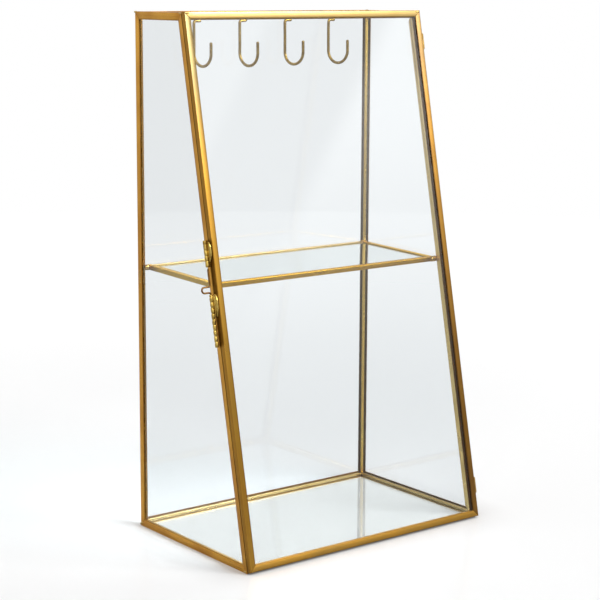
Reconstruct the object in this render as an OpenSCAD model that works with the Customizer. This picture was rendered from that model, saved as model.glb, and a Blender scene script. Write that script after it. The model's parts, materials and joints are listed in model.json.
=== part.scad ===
// Glazed brass jewelry box: an upright case with a leaning front door, a shelf and a row of hooks.
// Millimetres. The origin is the middle of the base's back edge, +Z is up and the door faces -Y.

/* [Case] */
// Width of the case and of its door
case_w = 198; // [170:2:250]
// Height of the case
case_h = 350; // [300:5:420]
// Depth of the case at its base, without the door
base_d = 125; // [110:1:150]
// Depth of the case at its roof, without the door
roof_d = 54; // [48:1:80]

/* [Brass strip] */
// Thickness of the sheet that every strip is folded from
sheet = 0.6; // [0.4:0.1:1]
// Width of an angle strip's legs along the back, roof and base
leg_w = 5.2; // [4.4:0.1:7]
// Width of the sloping strips' legs on the side faces
slope_leg_w = 3.9; // [3:0.1:6]
// Width of the legs that the door closes on
rebate_w = 5; // [4.4:0.1:6.5]
// Width and thickness of the inner bars that hold the glass
bar_w = 1.8; // [1.2:0.1:3]
// Width of the flat inner bars behind the sloping strips
flat_bar_w = 4.2; // [2.5:0.1:6]

/* [Glass] */
// Thickness of every pane
pane_t = 2; // [1.5:0.1:3]
// Room left around the edge of every pane
pane_play = 0.3; // [0.1:0.1:0.6]

/* [Door] */
// Width of the door's stiles and rails
door_leg_w = 4.6; // [3.8:0.1:7]
// Gap between the closed door and the case
seam = 0.4; // [0.3:0.1:0.8]
// Height of the door's lower edge above the table
door_lift = 0.8; // [0.5:0.1:2]

/* [Hinges] */
// Outer radius of a hinge's barrel
barrel_r = 1.5; // [1.3:0.1:2.2]
// Radius of a hinge's pin
hinge_pin_r = 0.7; // [0.5:0.1:0.9]
// Length of a hinge's barrel
barrel_l = 10.5; // [8:0.5:20]
// Width of a hinge's leaves
leaf_w = 3; // [2:0.1:3.3]
// Distance from the door's ends to the middle of each hinge
hinge_inset = 21.5; // [15:0.5:60]

/* [Latch] */
// Radius of the bolt's wire
bolt_r = 0.6; // [0.5:0.05:0.7]
// Outer radius of the tubes that hold the bolt
tube_r = 1.25; // [1.1:0.05:1.6]
// Height of the top of the lower tube, measured up the slope
tube_top = 178.2; // [120:0.2:240]
// Length of the lower tube, on the door
door_tube_l = 33.5; // [26:0.5:45]
// Length of the upper tube, on the case
case_tube_l = 17; // [14:0.5:26]
// Length of the door plate's pointed tongue
door_tongue_l = 14.5; // [10:0.5:22]
// Length of the case plate's pointed tongue
case_tongue_l = 13; // [10:0.5:13.5]
// How far the bolt slides up to lock the door
bolt_travel = 11; // [6:0.5:14]
// How far the finger loop stands out from its wire
loop_reach = 7; // [5:0.2:10]
// Distance between the two legs of the finger loop
loop_gap = 3.7; // [3:0.1:5]

/* [Shelf] */
// Height of the shelf's back edge
shelf_z = 180.5; // [120:0.5:230]
// How much lower the shelf's front edge lies
shelf_fall = 2; // [0:0.2:4]
// Width of the strips around the shelf
shelf_leg_w = 4; // [3:0.1:6]
// Gap between the shelf and the bars at its back and sides
shelf_play = 1.3; // [0.8:0.1:3]
// Gap between the shelf and the front of the case
shelf_setback = 4.6; // [1.5:0.1:8]
// Radius of the solder at the shelf's corners
solder_r = 2; // [1.9:0.1:2.3]

/* [Hooks] */
// Distance from one hook to the next
hook_pitch = 38.4; // [26:0.5:42]
// How far the row of hooks sits to the right of the middle
hook_row_x = 0.7; // [-4:0.1:4]
// Radius of the hooks' wire
hook_wire_r = 0.9; // [0.5:0.05:1]
// Radius of the hooks' bend
hook_bend_r = 8.6; // [6:0.1:11]
// Length of a hook from its foot to the middle of its bend
hook_drop = 21.6; // [18:0.1:60]
// Length of the straight end past the bend
hook_tip = 6.8; // [3:0.1:12]
// Length of a hook's soldered foot
hook_foot = 5.6; // [4:0.1:9]
// Gap between a hook's foot and the bar above it
foot_gap = 1.4; // [0:0.1:1.6]
// Angle that the hooks are turned to the right
hook_turn = 10; // [0:1:30]

/* [Hidden] */
$fn = 48;

// Running clearance of the pins and the bolt, gap between parts that pass each other, gap between
// parts that rest together, how far a cut or a union runs past a face, and past the ends of an edge
running = 0.05;
pass = 0.3;
touch = 0.1;
over = 1;
reach = 12;

// Slope of the front
front_run = base_d - roof_d;
lean = atan(front_run / case_h);
slope_l = case_h / cos(lean);
y_back = 0;
y_front = -base_d;
y_roof_front = -roof_d;

// Depth of the glazing behind a face, and of the bars behind the glass
glazing = sheet + pane_t;
inside = glazing + bar_w;
bar_seat = 2 * sheet;
base_bar_seat = sheet / cos(lean) + inside * tan(lean) + touch;

// Thickness of the strips folded around the door's and the shelf's panes
channel_t = pane_t + 2 * sheet;
door_foot = (door_lift - seam * sin(lean)) / cos(lean);
door_head = (case_h - seam * sin(lean)) / cos(lean);

// Hinge axis, in the frame of the sloping front
barrel_gap = 0.2;
axis_x = case_w / 2 + barrel_gap + barrel_r;
axis_y = -seam / 2;
knuckle_l = barrel_l / 3;
knuckle_gap = 0.15;
leaf_t = 0.6;
pin_lip = 0.35;
pin_head_r = hinge_pin_r + pin_lip;
pin_head_t = 0.5;
hinge_low = door_foot + hinge_inset;
hinge_high = door_head - hinge_inset;

// Latch, in the frame of the sloping front
bolt_x = -case_w / 2 - pass - touch / 2 - tube_r;
bolt_y = 1.35;
plate_t = 0.6;
bolt_bend_r = 1.3;
bolt_inset = 2;
loop_base = tube_top + touch + bolt_bend_r;
loop_top = loop_base + loop_gap;
loop_end_r = loop_gap / 2;
loop_middle = loop_reach - loop_end_r - bolt_r;
case_tube_foot = loop_top + bolt_bend_r + bolt_travel + touch;
bolt_tip = case_tube_foot - over;
bolt_tail = tube_top - door_tube_l + bolt_inset;
ring_l = 3;
ring_pitch = 3.6;
ring_step = 0.2;

// Shelf, drawn level and then turned about its back edge
shelf_half = case_w / 2 - inside - shelf_play;
shelf_back = y_back - inside - shelf_play;
front_at_shelf = y_front + shelf_z * tan(lean) + sheet / cos(lean);
shelf_front = front_at_shelf + shelf_setback;
shelf_d = shelf_back - shelf_front;
shelf_tilt = asin(shelf_fall / shelf_d);

// Hooks
HOOKS = 4;
foot_z = case_h - inside - foot_gap - hook_wire_r;
hook_y = y_back - inside - hook_wire_r - touch;
foot_bend_r = 1.6;
pad_r = 1.5;

BRASS = [0.72, 0.53, 0.22];
DARK_BRASS = [0.55, 0.38, 0.15];
BRIGHT_BRASS = [0.85, 0.68, 0.36];
SOLDER = [0.70, 0.62, 0.45];
CLEAR = [0.80, 0.90, 0.92, 0.35];

// Outlines of the case's faces, anticlockwise, and the leg width along each of their edges.
// Edges of a side: base, back, roof, slope. Edges of the others: base or front, right, top or back, left.
BASE = 0;
BACK = 1;
ROOF = 2;
SLOPE = 3;
FRONT = 0;
RIGHT = 1;
TOP = 2;
REAR = 2;
LEFT = 3;

function rectangle(half, low, high) = [[-half, low], [half, low], [half, high], [-half, high]];
function outline(face) =
    face == "side" ? [[y_front, 0], [y_back, 0], [y_back, case_h], [y_roof_front, case_h]] :
    face == "back" ? rectangle(case_w / 2, 0, case_h) :
    face == "front" ? rectangle(case_w / 2, 0, slope_l) :
    face == "roof" ? rectangle(case_w / 2, y_roof_front, y_back) :
    rectangle(case_w / 2, y_front, y_back);
function legs(face) =
    face == "side" ? [leg_w, leg_w, leg_w, slope_leg_w] :
    face == "front" ? [rebate_w, rebate_w, rebate_w, rebate_w] :
    [leg_w, leg_w, leg_w, leg_w];

// Vector helpers for an outline: direction and inward normal of edge i, and the outline moved inwards
function along(p, i) = let (d = p[(i + 1) % 4] - p[i]) d / norm(d);
function inward(p, i) = [-along(p, i).y, along(p, i).x];
function crossing(a, d, b, e) = a + d * cross(b - a, e) / cross(d, e);
function inset(p, w) = [
    for (i = [0 : 3])
        let (h = (i + 3) % 4)
        crossing(p[i] + w[h] * inward(p, h), along(p, h), p[i] + w[i] * inward(p, i), along(p, i))
];
function even(w) = [w, w, w, w];

// The piece of an outline between its edge i and the mitre lines at that edge's ends
function mitred(p, w, i) = let (q = inset(p, w), j = (i + 1) % 4) [p[i], p[j], q[j], q[i]];
// The same, with the mitre lines carried on past the edge and past the strip
function mitre_cut(p, w, i) =
    let (q = inset(p, w), j = (i + 1) % 4)
    [2 * p[i] - q[i], 2 * p[j] - q[j], 3 * q[j] - 2 * p[j], 3 * q[i] - 2 * p[i]];
// A straight band from near to far inside edge i, longer than the edge
function band(p, i, near, far) =
    let (a = p[i] - reach * along(p, i), b = p[(i + 1) % 4] + reach * along(p, i), n = inward(p, i))
    [a + near * n, b + near * n, b + far * n, a + far * n];

// Frame of the sloping front: x across, -y outwards, z up the slope
module front_frame() {
    translate([0, y_front, 0]) rotate([-lean, 0, 0]) children();
}

// Lays a flat shape on a face and gives it depth, from near to far behind that face
module on_face(face, near, far) {
    if (face == "side") {
        translate([near - case_w / 2, 0, 0]) rotate([90, 0, 90]) linear_extrude(far - near) children();
    }
    if (face == "back") {
        translate([0, y_back - near, 0]) rotate([90, 0, 0]) linear_extrude(far - near) children();
    }
    if (face == "front") {
        front_frame() translate([0, far, 0]) rotate([90, 0, 0]) linear_extrude(far - near) children();
    }
    if (face == "roof") {
        translate([0, 0, case_h - far]) linear_extrude(far - near) children();
    }
    if (face == "base") {
        translate([0, 0, near]) linear_extrude(far - near) children();
    }
}

// The case's outer block, and what belongs to one edge of a face between its mitres
module case_block() {
    on_face("side", 0, case_w) polygon(outline("side"));
}
module mitre_block(face, edge) {
    on_face(face, -over, reach) polygon(mitre_cut(outline(face), legs(face), edge));
}

// Angle strip folded around the case's edge where two faces meet, mitred at both ends
module leg(face, edge) {
    on_face(face, -over, sheet) polygon(band(outline(face), edge, -over, legs(face)[edge]));
}
module angle_strip(face_a, edge_a, face_b, edge_b) {
    intersection() {
        case_block();
        mitre_block(face_a, edge_a);
        mitre_block(face_b, edge_b);
        union() {
            leg(face_a, edge_a);
            leg(face_b, edge_b);
        }
    }
}

// Bar behind the glass along the same edge. It lies from near to far inside the edge of face a
module inner_bar(face_a, edge_a, near, far, face_b, edge_b) {
    intersection() {
        mitre_block(face_a, edge_a);
        mitre_block(face_b, edge_b);
        on_face(face_a, glazing, inside) polygon(band(outline(face_a), edge_a, near, far));
    }
}

// Pane held inside a face, between the strips and the bars. Gaps run from the face's edges
module pane(face, gaps) {
    on_face(face, sheet, glazing) polygon(inset(outline(face), gaps));
}

module mirrored() {
    mirror([1, 0, 0]) children();
}

// Upright and sloping strips
module back_left_post() {
    color(BRASS) angle_strip("side", BACK, "back", LEFT);
}
module back_right_post() {
    color(BRASS) mirrored() angle_strip("side", BACK, "back", LEFT);
}
module left_slope() {
    color(BRASS) angle_strip("side", SLOPE, "front", LEFT);
}
module right_slope() {
    color(BRASS) mirrored() angle_strip("side", SLOPE, "front", LEFT);
}

// Strips around the roof
module roof_back_rail() {
    color(BRASS) angle_strip("back", TOP, "roof", REAR);
}
module roof_front_rail() {
    color(BRASS) angle_strip("front", TOP, "roof", FRONT);
}
module roof_left_rail() {
    color(BRASS) angle_strip("side", ROOF, "roof", LEFT);
}
module roof_right_rail() {
    color(BRASS) mirrored() angle_strip("side", ROOF, "roof", LEFT);
}

// Strips around the base
module base_back_rail() {
    color(BRASS) angle_strip("back", BASE, "base", REAR);
}
module base_front_rail() {
    color(BRASS) angle_strip("front", BASE, "base", FRONT);
}
module base_left_rail() {
    color(BRASS) angle_strip("side", BASE, "base", LEFT);
}
module base_right_rail() {
    color(BRASS) mirrored() angle_strip("side", BASE, "base", LEFT);
}

// Inner bars
module back_left_bar() {
    color(BRIGHT_BRASS) inner_bar("side", BACK, glazing, inside, "back", LEFT);
}
module back_right_bar() {
    color(BRIGHT_BRASS) mirrored() inner_bar("side", BACK, glazing, inside, "back", LEFT);
}
module left_slope_bar() {
    color(BRIGHT_BRASS) inner_bar("side", SLOPE, bar_seat, bar_seat + flat_bar_w, "front", LEFT);
}
module right_slope_bar() {
    color(BRIGHT_BRASS) mirrored() inner_bar("side", SLOPE, bar_seat, bar_seat + flat_bar_w, "front", LEFT);
}
module roof_back_bar() {
    color(BRIGHT_BRASS) inner_bar("roof", REAR, glazing, inside, "back", TOP);
}
module roof_front_bar() {
    color(BRIGHT_BRASS) inner_bar("roof", FRONT, bar_seat, bar_seat + bar_w, "front", TOP);
}
module roof_left_bar() {
    color(BRIGHT_BRASS) inner_bar("roof", LEFT, glazing, inside, "side", ROOF);
}
module roof_right_bar() {
    color(BRIGHT_BRASS) mirrored() inner_bar("roof", LEFT, glazing, inside, "side", ROOF);
}
module base_back_bar() {
    color(BRIGHT_BRASS) inner_bar("base", REAR, glazing, inside, "back", BASE);
}
module base_front_bar() {
    color(BRIGHT_BRASS) inner_bar("base", FRONT, base_bar_seat, base_bar_seat + bar_w, "front", BASE);
}
module base_left_bar() {
    color(BRIGHT_BRASS) inner_bar("base", LEFT, glazing, inside, "side", BASE);
}
module base_right_bar() {
    color(BRIGHT_BRASS) mirrored() inner_bar("base", LEFT, glazing, inside, "side", BASE);
}

// Panes of the case. The side panes run the full depth and the others fit between them
module left_glass() {
    color(CLEAR) pane("side", even(sheet + pane_play));
}
module right_glass() {
    color(CLEAR) mirrored() pane("side", even(sheet + pane_play));
}
module back_glass() {
    edge = sheet + pane_play;
    beside = glazing + pane_play;
    color(CLEAR) pane("back", [edge, beside, edge, beside]);
}
module roof_glass() {
    edge = sheet + pane_play;
    beside = glazing + pane_play;
    color(CLEAR) pane("roof", [edge, beside, beside, beside]);
}
module base_glass() {
    edge = sheet / cos(lean) + glazing * tan(lean) + pane_play;
    beside = glazing + pane_play;
    color(CLEAR) pane("base", [edge, beside, beside, beside]);
}

// Door, laid out on its own plane. Depth runs from its outer face towards the case
door_outline = rectangle(case_w / 2, door_foot, door_head);
module on_door(near, far) {
    front_frame() translate([0, far - seam - channel_t, 0]) rotate([90, 0, 0])
        linear_extrude(far - near) children();
}
module door_strip(edge) {
    color(BRASS) difference() {
        on_door(0, channel_t) polygon(mitred(door_outline, even(door_leg_w), edge));
        on_door(sheet, sheet + pane_t) polygon(band(door_outline, edge, sheet, 2 * door_leg_w));
    }
}
module door_left_stile() {
    door_strip(LEFT);
}
module door_right_stile() {
    door_strip(RIGHT);
}
module door_top_rail() {
    door_strip(TOP);
}
module door_bottom_rail() {
    door_strip(BASE);
}
module door_glass() {
    color(CLEAR) on_door(sheet, sheet + pane_t) polygon(inset(door_outline, even(sheet + pane_play)));
}

// Hinges at the door's right edge: three knuckles, the middle one on the door's leaf
module hinge_cylinder(radius, low, high) {
    translate([axis_x, axis_y, low]) cylinder(r = radius, h = high - low);
}
module hinge_knuckle(middle, slot, extra) {
    low = middle - barrel_l / 2 + slot * knuckle_l + knuckle_gap / 2;
    high = low + knuckle_l - knuckle_gap;
    hinge_cylinder(barrel_r + extra, low - extra, high + extra);
}
module hinge_plate(middle, near, far) {
    translate([case_w / 2, near, middle - barrel_l / 2]) cube([leaf_t, far - near, barrel_l]);
}
module hinge_case_leaf(middle) {
    color(DARK_BRASS) front_frame() difference() {
        union() {
            difference() {
                hinge_plate(middle, touch, touch + leaf_w);
                hinge_knuckle(middle, 1, knuckle_gap);
            }
            hinge_knuckle(middle, 0, 0);
            hinge_knuckle(middle, 2, 0);
        }
        hinge_cylinder(hinge_pin_r + running, middle - barrel_l, middle + barrel_l);
    }
}
module hinge_door_leaf(middle) {
    color(DARK_BRASS) front_frame() difference() {
        union() {
            difference() {
                hinge_plate(middle, -seam - leaf_w, -seam);
                hinge_knuckle(middle, 0, knuckle_gap);
                hinge_knuckle(middle, 2, knuckle_gap);
            }
            hinge_knuckle(middle, 1, 0);
        }
        hinge_cylinder(hinge_pin_r + running, middle - barrel_l, middle + barrel_l);
    }
}
module hinge_pin(middle) {
    foot = middle - barrel_l / 2;
    head = middle + barrel_l / 2;
    color(BRASS) front_frame() {
        hinge_cylinder(hinge_pin_r, foot - pin_head_t, head + pin_head_t);
        hinge_cylinder(pin_head_r, foot - pin_head_t, foot);
        hinge_cylinder(pin_head_r, head, head + pin_head_t);
    }
}
module upper_hinge_case_leaf() {
    hinge_case_leaf(hinge_high);
}
module upper_hinge_door_leaf() {
    hinge_door_leaf(hinge_high);
}
module upper_hinge_pin() {
    hinge_pin(hinge_high);
}
module lower_hinge_case_leaf() {
    hinge_case_leaf(hinge_low);
}
module lower_hinge_door_leaf() {
    hinge_door_leaf(hinge_low);
}
module lower_hinge_pin() {
    hinge_pin(hinge_low);
}

// Latch: two ringed tubes in line at the door's left edge, and the wire bolt that slides in them
module latch_cylinder(radius, low, high) {
    translate([bolt_x, bolt_y, low]) cylinder(r = radius, h = high - low);
}
module ringed_tube(low, high) {
    latch_cylinder(tube_r - ring_step, low, high);
    for (foot = [low : ring_pitch : high - ring_l]) {
        latch_cylinder(tube_r, foot, foot + ring_l);
    }
    latch_cylinder(tube_r, high - ring_l, high);
}
// Plate flat against the left side, from off away from it. Its shape is in y and height
module side_plate(off, shape) {
    translate([-case_w / 2 - off - plate_t, 0, 0]) rotate([90, 0, 90]) linear_extrude(plate_t)
        polygon(shape);
}
// Pointed tongue that hangs down from a height
function tongue(near, far, top, long) = [
    [near, top], [near, top - 0.55 * long], [0.6 * near + 0.4 * far, top - long],
    [far, top - 0.7 * long], [far, top - 0.25 * long], [0.7 * far + 0.3 * near, top]
];
module latch_case_plate() {
    top = case_tube_foot + case_tube_l;
    color(DARK_BRASS) front_frame() difference() {
        union() {
            ringed_tube(case_tube_foot, top);
            side_plate(0, [[touch, case_tube_foot], [bolt_y + tube_r, case_tube_foot],
                [bolt_y + tube_r, top], [touch, top]]);
            side_plate(pass, tongue(bolt_y, -seam - channel_t + pass, top - over, case_tongue_l));
        }
        latch_cylinder(bolt_r + running, case_tube_foot - over, top + over);
    }
}
module latch_door_plate() {
    foot = tube_top - door_tube_l;
    color(DARK_BRASS) front_frame() difference() {
        union() {
            ringed_tube(foot, tube_top);
            side_plate(0, tongue(-seam - touch, -seam - channel_t + pass, tube_top, door_tongue_l));
            side_plate(pass, tongue(bolt_y, -seam - over, tube_top, door_tongue_l));
        }
        latch_cylinder(bolt_r + running, foot - over, tube_top + over);
    }
}
// Bend of round wire in the plane across the front, about a centre
module wire_bend(x, z, radius, start, turn) {
    translate([x, 0, z]) rotate([90, 0, 0]) rotate([0, 0, start])
        rotate_extrude(angle = turn) translate([radius, 0]) circle(r = bolt_r);
}
module wire_across(from, to, z) {
    translate([from, 0, z]) rotate([0, 90, 0]) cylinder(r = bolt_r, h = to - from);
}
module latch_bolt() {
    bend = bolt_bend_r;
    color(BRASS) front_frame() {
        latch_cylinder(bolt_r, bolt_tail, loop_base - bend);
        latch_cylinder(bolt_r, loop_top + bend, bolt_tip);
        translate([bolt_x, bolt_y, 0]) {
            wire_bend(-bend, loop_base - bend, bend, 0, 90);
            wire_across(-loop_middle, -bend, loop_base);
            wire_bend(-loop_middle, loop_base + loop_end_r, loop_end_r, 90, 180);
            wire_across(-loop_middle, -bend, loop_top);
            wire_bend(-bend, loop_top + bend, bend, -90, 90);
        }
    }
}

// Shelf, drawn with its back edge on the x axis
shelf_outline = rectangle(shelf_half, -shelf_d, 0);
module shelf_frame() {
    translate([0, shelf_back, shelf_z]) rotate([shelf_tilt, 0, 0]) children();
}
module on_shelf(low, high) {
    shelf_frame() translate([0, 0, low - channel_t / 2]) linear_extrude(high - low) children();
}
module shelf_strip(edge) {
    color(BRASS) difference() {
        on_shelf(0, channel_t) polygon(mitred(shelf_outline, even(shelf_leg_w), edge));
        on_shelf(sheet, sheet + pane_t) polygon(band(shelf_outline, edge, sheet, 2 * shelf_leg_w));
    }
}
module shelf_front_strip() {
    shelf_strip(FRONT);
}
module shelf_back_strip() {
    shelf_strip(REAR);
}
module shelf_left_strip() {
    shelf_strip(LEFT);
}
module shelf_right_strip() {
    shelf_strip(RIGHT);
}
module shelf_glass() {
    color(CLEAR) on_shelf(sheet, sheet + pane_t) polygon(inset(shelf_outline, even(sheet + pane_play)));
}

// Solder run along x with round ends
module solder_run(radius, length) {
    rotate([0, 90, 0]) cylinder(r = radius, h = length);
    sphere(r = radius);
    translate([length, 0, 0]) sphere(r = radius);
}
module shelf_solder() {
    end = case_w / 2 - glazing - solder_r - touch;
    run = end - shelf_half + solder_r;
    color(SOLDER) difference() {
        for (side = [0, 1]) {
            mirror([side, 0, 0]) shelf_frame() {
                translate([end - run, 0, 0]) solder_run(solder_r, run);
                translate([end - run, -shelf_d + over, 0]) solder_run(solder_r, run);
            }
        }
        on_shelf(0, channel_t) polygon(shelf_outline);
        back_left_bar();
        back_right_bar();
        left_slope_bar();
        right_slope_bar();
    }
}

// Hooks: a foot along the roof's back bar, a drop and a bend towards the door
module hook_wire(length) {
    cylinder(r = hook_wire_r, h = length);
}
module hook_arc(radius, turn) {
    rotate_extrude(angle = turn) translate([radius, 0]) circle(r = hook_wire_r);
}
module hook(number) {
    x = hook_row_x + (number - (HOOKS + 1) / 2) * hook_pitch;
    bend_z = foot_z - hook_drop;
    color(DARK_BRASS) translate([x, hook_y, 0]) {
        translate([foot_bend_r, 0, foot_z]) rotate([0, 90, 0]) hook_wire(hook_foot - foot_bend_r);
        translate([foot_bend_r, 0, foot_z - foot_bend_r]) rotate([90, 0, 0]) rotate([0, 0, 90])
            hook_arc(foot_bend_r, 90);
        translate([0, 0, bend_z]) hook_wire(hook_drop - foot_bend_r);
        rotate([0, 0, hook_turn]) translate([0, 0, bend_z]) {
            translate([0, -hook_bend_r, 0]) rotate([90, 0, 90]) rotate([0, 0, 180])
                hook_arc(hook_bend_r, 180);
            translate([0, -2 * hook_bend_r, 0]) hook_wire(hook_tip);
            translate([0, -2 * hook_bend_r, hook_tip]) sphere(r = hook_wire_r);
        }
    }
}
module hook_1() {
    hook(1);
}
module hook_2() {
    hook(2);
}
module hook_3() {
    hook(3);
}
module hook_4() {
    hook(4);
}
module hook_solder() {
    long = hook_foot - foot_bend_r - pad_r;
    color(SOLDER) difference() {
        for (number = [1 : HOOKS]) {
            x = hook_row_x + (number - (HOOKS + 1) / 2) * hook_pitch;
            translate([x + foot_bend_r + pad_r / 2, hook_y + pad_r / 2, foot_z + pad_r / 2])
                solder_run(pad_r, long);
        }
        roof_back_bar();
        hook(1);
        hook(2);
        hook(3);
        hook(4);
    }
}

back_left_post();
back_right_post();
left_slope();
right_slope();
roof_back_rail();
roof_front_rail();
roof_left_rail();
roof_right_rail();
base_back_rail();
base_front_rail();
base_left_rail();
base_right_rail();
back_left_bar();
back_right_bar();
left_slope_bar();
right_slope_bar();
roof_back_bar();
roof_front_bar();
roof_left_bar();
roof_right_bar();
base_back_bar();
base_front_bar();
base_left_bar();
base_right_bar();
left_glass();
right_glass();
back_glass();
roof_glass();
base_glass();
door_left_stile();
door_right_stile();
door_top_rail();
door_bottom_rail();
door_glass();
upper_hinge_case_leaf();
upper_hinge_door_leaf();
upper_hinge_pin();
lower_hinge_case_leaf();
lower_hinge_door_leaf();
lower_hinge_pin();
latch_case_plate();
latch_door_plate();
latch_bolt();
shelf_front_strip();
shelf_back_strip();
shelf_left_strip();
shelf_right_strip();
shelf_glass();
shelf_solder();
hook_1();
hook_2();
hook_3();
hook_4();
hook_solder();
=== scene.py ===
# %% [markdown]
# # A glass and brass jewelry box
# The box is a small display cabinet. Folded brass strips hold seven panes of glass, and the front
# pane is a door that leans back. Inside are a glass shelf and four wire hooks for chains. This
# lesson takes the exact solids of the box and gives them the looks of the real thing: soft folded
# edges, hand-bent wire, lumps of solder, brass that has aged, and clear glass.

import json
import math

import bmesh
import bpy
import numpy as np
from mathutils import Matrix, Vector


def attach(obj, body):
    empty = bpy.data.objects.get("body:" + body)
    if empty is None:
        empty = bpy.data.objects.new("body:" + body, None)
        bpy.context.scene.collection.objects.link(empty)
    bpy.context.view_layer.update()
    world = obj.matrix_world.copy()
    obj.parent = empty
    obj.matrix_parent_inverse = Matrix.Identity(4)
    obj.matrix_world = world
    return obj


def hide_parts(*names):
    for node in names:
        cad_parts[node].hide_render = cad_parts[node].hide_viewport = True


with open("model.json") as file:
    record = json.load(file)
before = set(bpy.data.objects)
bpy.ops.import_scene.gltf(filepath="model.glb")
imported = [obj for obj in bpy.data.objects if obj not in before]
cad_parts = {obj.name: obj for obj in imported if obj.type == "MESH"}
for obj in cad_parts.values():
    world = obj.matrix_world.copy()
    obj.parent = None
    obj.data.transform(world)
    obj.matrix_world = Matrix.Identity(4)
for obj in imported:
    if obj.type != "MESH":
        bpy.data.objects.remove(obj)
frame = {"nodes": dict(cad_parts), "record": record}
NODES = frame["nodes"]
BODIES = frame["record"]["behaviour"]["bodies"]
BODY_OF = {node: body for body, nodes in BODIES.items() for node in nodes}
SLOT_OF = {part["node"]: part["material_slot"] for part in frame["record"]["subparts"]}
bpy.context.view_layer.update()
MM = 0.001
HALF_W, BASE_D, CASE_H, FRONT_SET_BACK = 99, 125, 350, 71


# %% [markdown]
# ## The camera
# A tall object looks best from a little above its top, through a long lens from the left of its
# front. The camera is set by the direction it looks in, so its rotation is built from three
# vectors: right, up and back. Blender's cameras look along their own -Z.

# %% Place the camera
LENS_PIXELS, FRAME_PIXELS, SHIFT_Y = 1691.9, 600, -0.035
YAW, PITCH, ROLL = (math.radians(a) for a in (37.791, 9.785, 0.27))
CAMERA_AT = Vector((-699.9, -952.8, 366.0)) * MM
NEAREST, FARTHEST = 0.05, 60

look = Vector((math.sin(YAW) * math.cos(PITCH), math.cos(YAW) * math.cos(PITCH), -math.sin(PITCH)))
level = Vector((math.cos(YAW), -math.sin(YAW), 0))
upright = level.cross(look)
right = level * math.cos(ROLL) + upright * math.sin(ROLL)
up = upright * math.cos(ROLL) - level * math.sin(ROLL)

camera = bpy.data.objects.new("camera", bpy.data.cameras.new("camera"))
camera.data.sensor_width = 36
camera.data.lens = camera.data.sensor_width * LENS_PIXELS / FRAME_PIXELS
camera.data.shift_y = SHIFT_Y
camera.data.clip_start, camera.data.clip_end = NEAREST, FARTHEST
facing = Matrix((right, up, -look)).transposed().to_4x4()
camera.matrix_world = Matrix.Translation(CAMERA_AT) @ facing
bpy.context.scene.collection.objects.link(camera)
bpy.context.scene.camera = camera
bpy.context.scene.view_settings.view_transform = "Standard"
print("lens in mm:", round(camera.data.lens, 1))

# %% [markdown]
# ## Writing materials as sums
# A procedural material is a network of small nodes. Drawing it by hand is slow, so two small
# classes write it. `Value` wraps one number that flows through the network, and adding or
# multiplying values adds the Math nodes.


# %% A value to calculate with
class Value:
    """A number in a material's network, which Python's operators work on."""

    def __init__(self, finish, socket):
        self.finish, self.socket = finish, socket

    def math(self, operation, *values):
        return self.finish.math(operation, self, *values)

    def __add__(self, other):
        return self.math("ADD", other)

    def __sub__(self, other):
        return self.math("SUBTRACT", other)

    def __rsub__(self, other):
        return self.finish.math("SUBTRACT", other, self)

    def __mul__(self, other):
        return self.math("MULTIPLY", other)

    def __truediv__(self, other):
        return self.math("DIVIDE", other)

    def __rtruediv__(self, other):
        return self.finish.math("DIVIDE", other, self)

    __radd__, __rmul__ = __add__, __mul__

    def low(self, other):
        return self.math("MINIMUM", other)

    def high(self, other):
        return self.math("MAXIMUM", other)

    def ramp(self, start, end):
        """0 where the value is at start, 1 where it is at end, and smooth between them."""
        settings = {"interpolation_type": "SMOOTHSTEP"}
        values = {"Value": self, "From Min": start, "From Max": end}
        return self.finish.node("ShaderNodeMapRange", settings, values)("Result")


print("ready:", Value.__doc__)

# %% [markdown]
# `Finish` holds one material, or the tree of a room, and makes every other node with a single
# method. The short methods are for the nodes that nearly every finish needs.


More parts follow.
